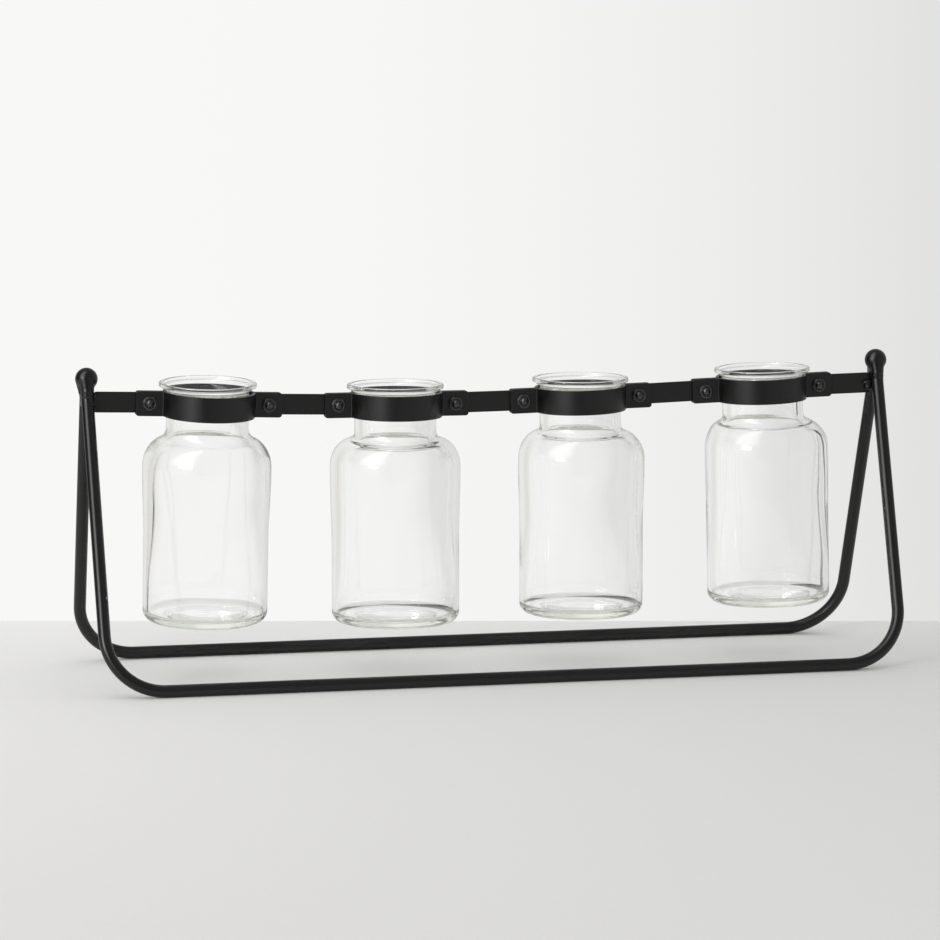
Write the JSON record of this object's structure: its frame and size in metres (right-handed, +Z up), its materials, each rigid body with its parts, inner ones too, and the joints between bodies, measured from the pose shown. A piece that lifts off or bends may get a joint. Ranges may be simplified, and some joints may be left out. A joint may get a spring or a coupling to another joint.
{
  "type": "hanging vase stand",
  "caption": "Clear glass vases hang in a row by their rims in two-part collars on a flat screwed bar, between the ball-topped ends of a black bent-rod trestle frame.",
  "frame": {"origin": "on the floor, under the middle of the frame", "axes": "+X along the bar to the right, +Y from the front to the back, +Z up"},
  "size_m": [0.4048, 0.1144, 0.1514],
  "materials": {
    "rod_black": "satin black powder coat",
    "strap_black": "satin black powder coat, a little flatter than the rods",
    "fastener_black": "satin black paint",
    "clear_glass": "clear blown glass, slightly wavy, faint green in the thick edges"
  },
  "bodies": {
    "stand": {"front_rod_loop": "rod_black", "back_rod_loop": "rod_black", "left_ball": "rod_black", "right_ball": "rod_black", "left_end_bar": "strap_black", "link_bar_1": "strap_black", "link_bar_2": "strap_black", "link_bar_3": "strap_black", "right_end_bar": "strap_black", "collar_front_1": "strap_black", "collar_front_2": "strap_black", "collar_front_3": "strap_black", "collar_front_4": "strap_black", "collar_back_1": "strap_black", "collar_back_2": "strap_black", "collar_back_3": "strap_black", "collar_back_4": "strap_black", "screw_1": "fastener_black", "screw_2": "fastener_black", "screw_3": "fastener_black", "screw_4": "fastener_black", "screw_5": "fastener_black", "screw_6": "fastener_black", "screw_7": "fastener_black", "screw_8": "fastener_black", "nut_1": "fastener_black", "nut_2": "fastener_black", "nut_3": "fastener_black", "nut_4": "fastener_black", "nut_5": "fastener_black", "nut_6": "fastener_black", "nut_7": "fastener_black", "nut_8": "fastener_black"},
    "vase_1": {"vase_1": "clear_glass"},
    "vase_2": {"vase_2": "clear_glass"},
    "vase_3": {"vase_3": "clear_glass"},
    "vase_4": {"vase_4": "clear_glass"}
  },
  "joints": [
    {"name": "vase_1_turn", "type": "hinge", "parent": "stand", "child": "vase_1", "pos_m": [-0.138, 0, 0.13262], "axis": [0.014, -0.0419, 0.999], "continuous": true},
    {"name": "vase_2_turn", "type": "hinge", "parent": "stand", "child": "vase_2", "pos_m": [-0.046, 0, 0.13014], "axis": [0, 0, 1], "continuous": true},
    {"name": "vase_3_turn", "type": "hinge", "parent": "stand", "child": "vase_3", "pos_m": [0.046, 0, 0.13088], "axis": [0, 0, 1], "continuous": true},
    {"name": "vase_4_turn", "type": "hinge", "parent": "stand", "child": "vase_4", "pos_m": [0.138, 0, 0.13348], "axis": [-0.0227, 0, 0.9997], "continuous": true}
  ]
}
